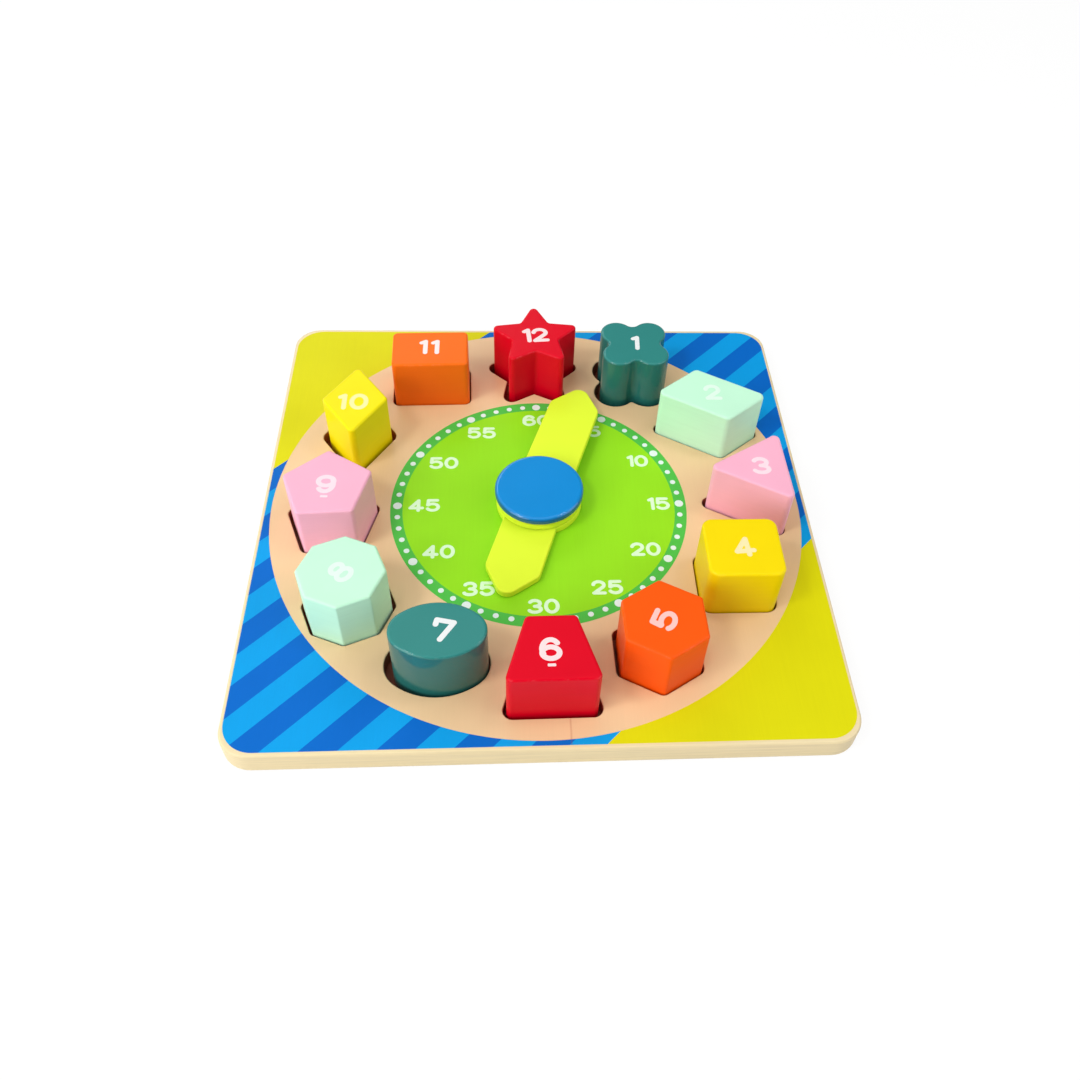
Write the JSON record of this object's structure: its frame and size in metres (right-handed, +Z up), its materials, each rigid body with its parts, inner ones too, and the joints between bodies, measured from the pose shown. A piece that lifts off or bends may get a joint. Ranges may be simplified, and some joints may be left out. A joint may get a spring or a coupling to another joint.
{
  "type": "teaching clock shape puzzle",
  "caption": "Square wooden teaching clock: shaped numbered blocks lift out of sockets in a ring round a dial with two hands that turn by hand.",
  "frame": {"origin": "middle of the board's underside", "axes": "+Z up from the table through the pivot, +Y towards the 12 of the dial, +X towards the 3"},
  "size_m": [0.22, 0.22, 0.0323],
  "materials": {
    "panel_wood": "printed face over light plywood, satin",
    "backing_wood": "light plywood, plain",
    "dowel_wood": "plain hardwood",
    "washer_plastic": "natural, matt",
    "paint_blue": "glossy paint",
    "paint_hand_yellow": "satin paint",
    "paint_teal": "satin paint",
    "paint_mint": "satin paint",
    "paint_pink": "satin paint",
    "paint_yellow": "satin paint",
    "paint_orange": "satin paint",
    "paint_red": "satin paint"
  },
  "bodies": {
    "board": {"front_panel": "panel_wood", "backing_panel": "backing_wood", "pivot_dowel": "dowel_wood", "dial_washer": "washer_plastic", "hand_washer": "washer_plastic", "cap_washer": "washer_plastic", "hub_cap": "paint_blue"},
    "hour_hand": {"hour_hand": "paint_hand_yellow"},
    "minute_hand": {"minute_hand": "paint_hand_yellow"},
    "block_01_quatrefoil": {"block_01_quatrefoil": "paint_teal"},
    "block_02_parallelogram": {"block_02_parallelogram": "paint_mint"},
    "block_03_triangle": {"block_03_triangle": "paint_pink"},
    "block_04_square": {"block_04_square": "paint_yellow"},
    "block_05_hexagon": {"block_05_hexagon": "paint_orange"},
    "block_06_trapezoid": {"block_06_trapezoid": "paint_red"},
    "block_07_oval": {"block_07_oval": "paint_teal"},
    "block_08_octagon": {"block_08_octagon": "paint_mint"},
    "block_09_pentagon": {"block_09_pentagon": "paint_pink"},
    "block_10_rhombus": {"block_10_rhombus": "paint_yellow"},
    "block_11_rectangle": {"block_11_rectangle": "paint_orange"},
    "block_12_star": {"block_12_star": "paint_red"}
  },
  "joints": [
    {"name": "hour_hand_turn", "type": "hinge", "parent": "board", "child": "hour_hand", "pos_m": [0, 0, 0.0114], "axis": [0, 0, 1], "continuous": true},
    {"name": "minute_hand_turn", "type": "hinge", "parent": "board", "child": "minute_hand", "pos_m": [0, 0, 0.0149], "axis": [0, 0, 1], "continuous": true},
    {"name": "block_01_quatrefoil_lift", "type": "slide", "parent": "board", "child": "block_01_quatrefoil", "axis": [0, 0, 1], "range_m": [0, 0.03]},
    {"name": "block_02_parallelogram_lift", "type": "slide", "parent": "board", "child": "block_02_parallelogram", "axis": [0, 0, 1], "range_m": [0, 0.03]},
    {"name": "block_03_triangle_lift", "type": "slide", "parent": "board", "child": "block_03_triangle", "axis": [0, 0, 1], "range_m": [0, 0.03]},
    {"name": "block_04_square_lift", "type": "slide", "parent": "board", "child": "block_04_square", "axis": [0, 0, 1], "range_m": [0, 0.03]},
    {"name": "block_05_hexagon_lift", "type": "slide", "parent": "board", "child": "block_05_hexagon", "axis": [0, 0, 1], "range_m": [0, 0.03]},
    {"name": "block_06_trapezoid_lift", "type": "slide", "parent": "board", "child": "block_06_trapezoid", "axis": [0, 0, 1], "range_m": [0, 0.03]},
    {"name": "block_07_oval_lift", "type": "slide", "parent": "board", "child": "block_07_oval", "axis": [0, 0, 1], "range_m": [0, 0.03]},
    {"name": "block_08_octagon_lift", "type": "slide", "parent": "board", "child": "block_08_octagon", "axis": [0, 0, 1], "range_m": [0, 0.03]},
    {"name": "block_09_pentagon_lift", "type": "slide", "parent": "board", "child": "block_09_pentagon", "axis": [0, 0, 1], "range_m": [0, 0.03]},
    {"name": "block_10_rhombus_lift", "type": "slide", "parent": "board", "child": "block_10_rhombus", "axis": [0, 0, 1], "range_m": [0, 0.03]},
    {"name": "block_11_rectangle_lift", "type": "slide", "parent": "board", "child": "block_11_rectangle", "axis": [0, 0, 1], "range_m": [0, 0.03]},
    {"name": "block_12_star_lift", "type": "slide", "parent": "board", "child": "block_12_star", "axis": [0, 0, 1], "range_m": [0, 0.03]}
  ]
}
